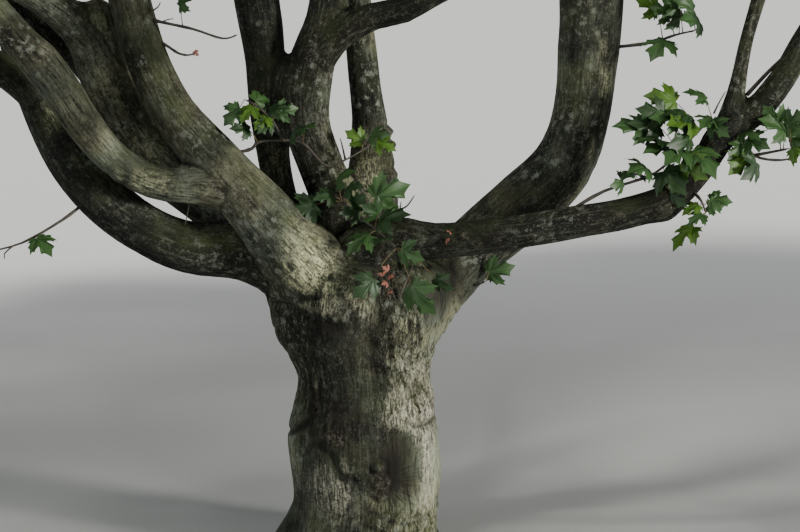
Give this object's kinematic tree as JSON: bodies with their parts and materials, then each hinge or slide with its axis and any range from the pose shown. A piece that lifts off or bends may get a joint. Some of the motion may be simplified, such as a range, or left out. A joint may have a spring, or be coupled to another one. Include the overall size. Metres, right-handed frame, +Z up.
{
  "type": "cappadocian maple tree",
  "caption": "Low-forked broadleaf tree with a flared fluted trunk, wide curving boughs and a round leafy crown, rooted in the ground.",
  "frame": {"origin": "on the flat cut under the trunk at ground level, on the trunk's axis", "axes": "+Z up out of the ground, -Y towards the side that the picture shows, +X to the right as seen from that side"},
  "size_m": [7.7611, 7.8531, 7.5837],
  "materials": {
    "bark": "rough grey-brown bark with lichen",
    "foliage": "satin green leaves",
    "leaf": "satin bright green leaves"
  },
  "bodies": {
    "root": {"trunk": "bark", "bough_shoulder": "bark", "bough_left_upright": "bark", "bough_right_lower": "bark", "bough_right_upper": "bark", "bough_low_left_lower": "bark", "bough_low_left_upper": "bark", "bough_centre": "bark", "bough_back_upright": "bark", "bough_rear": "bark", "bough_back_left": "bark", "bough_front_left_lower": "bark", "bough_front_left_upper": "bark", "bough_level_lower": "bark", "bough_level_upper": "bark", "bough_back_left_stub": "bark", "bough_low_left_fork": "bark", "bough_back_left_fork": "bark", "bough_centre_fork": "bark", "bough_level_fork": "bark", "limb_right_1": "bark", "limb_right_2": "bark", "limb_right_3": "bark", "limb_back_1": "bark", "limb_back_2": "bark", "limb_front_1": "bark", "limb_front_2": "bark", "sprig_centre": "leaf", "sprig_fork": "leaf", "sprig_level": "leaf", "sprig_under": "leaf", "sprig_edge": "leaf", "sprig_top_right": "leaf", "sprig_left": "leaf", "sprig_right": "leaf", "sprig_upright": "leaf", "foliage_low_0": "foliage", "foliage_low_1": "foliage", "foliage_low_2": "foliage", "foliage_low_3": "foliage", "foliage_low_4": "foliage", "foliage_low_5": "foliage", "foliage_low_6": "foliage", "foliage_low_7": "foliage", "foliage_mid_0": "foliage", "foliage_mid_1": "foliage", "foliage_mid_2": "foliage", "foliage_mid_3": "foliage", "foliage_mid_4": "foliage", "foliage_mid_5": "foliage", "foliage_high_0": "foliage", "foliage_high_1": "foliage", "foliage_high_2": "foliage", "foliage_high_3": "foliage", "foliage_top_0": "foliage", "foliage_inner_0": "foliage"}
  },
  "joints": []
}
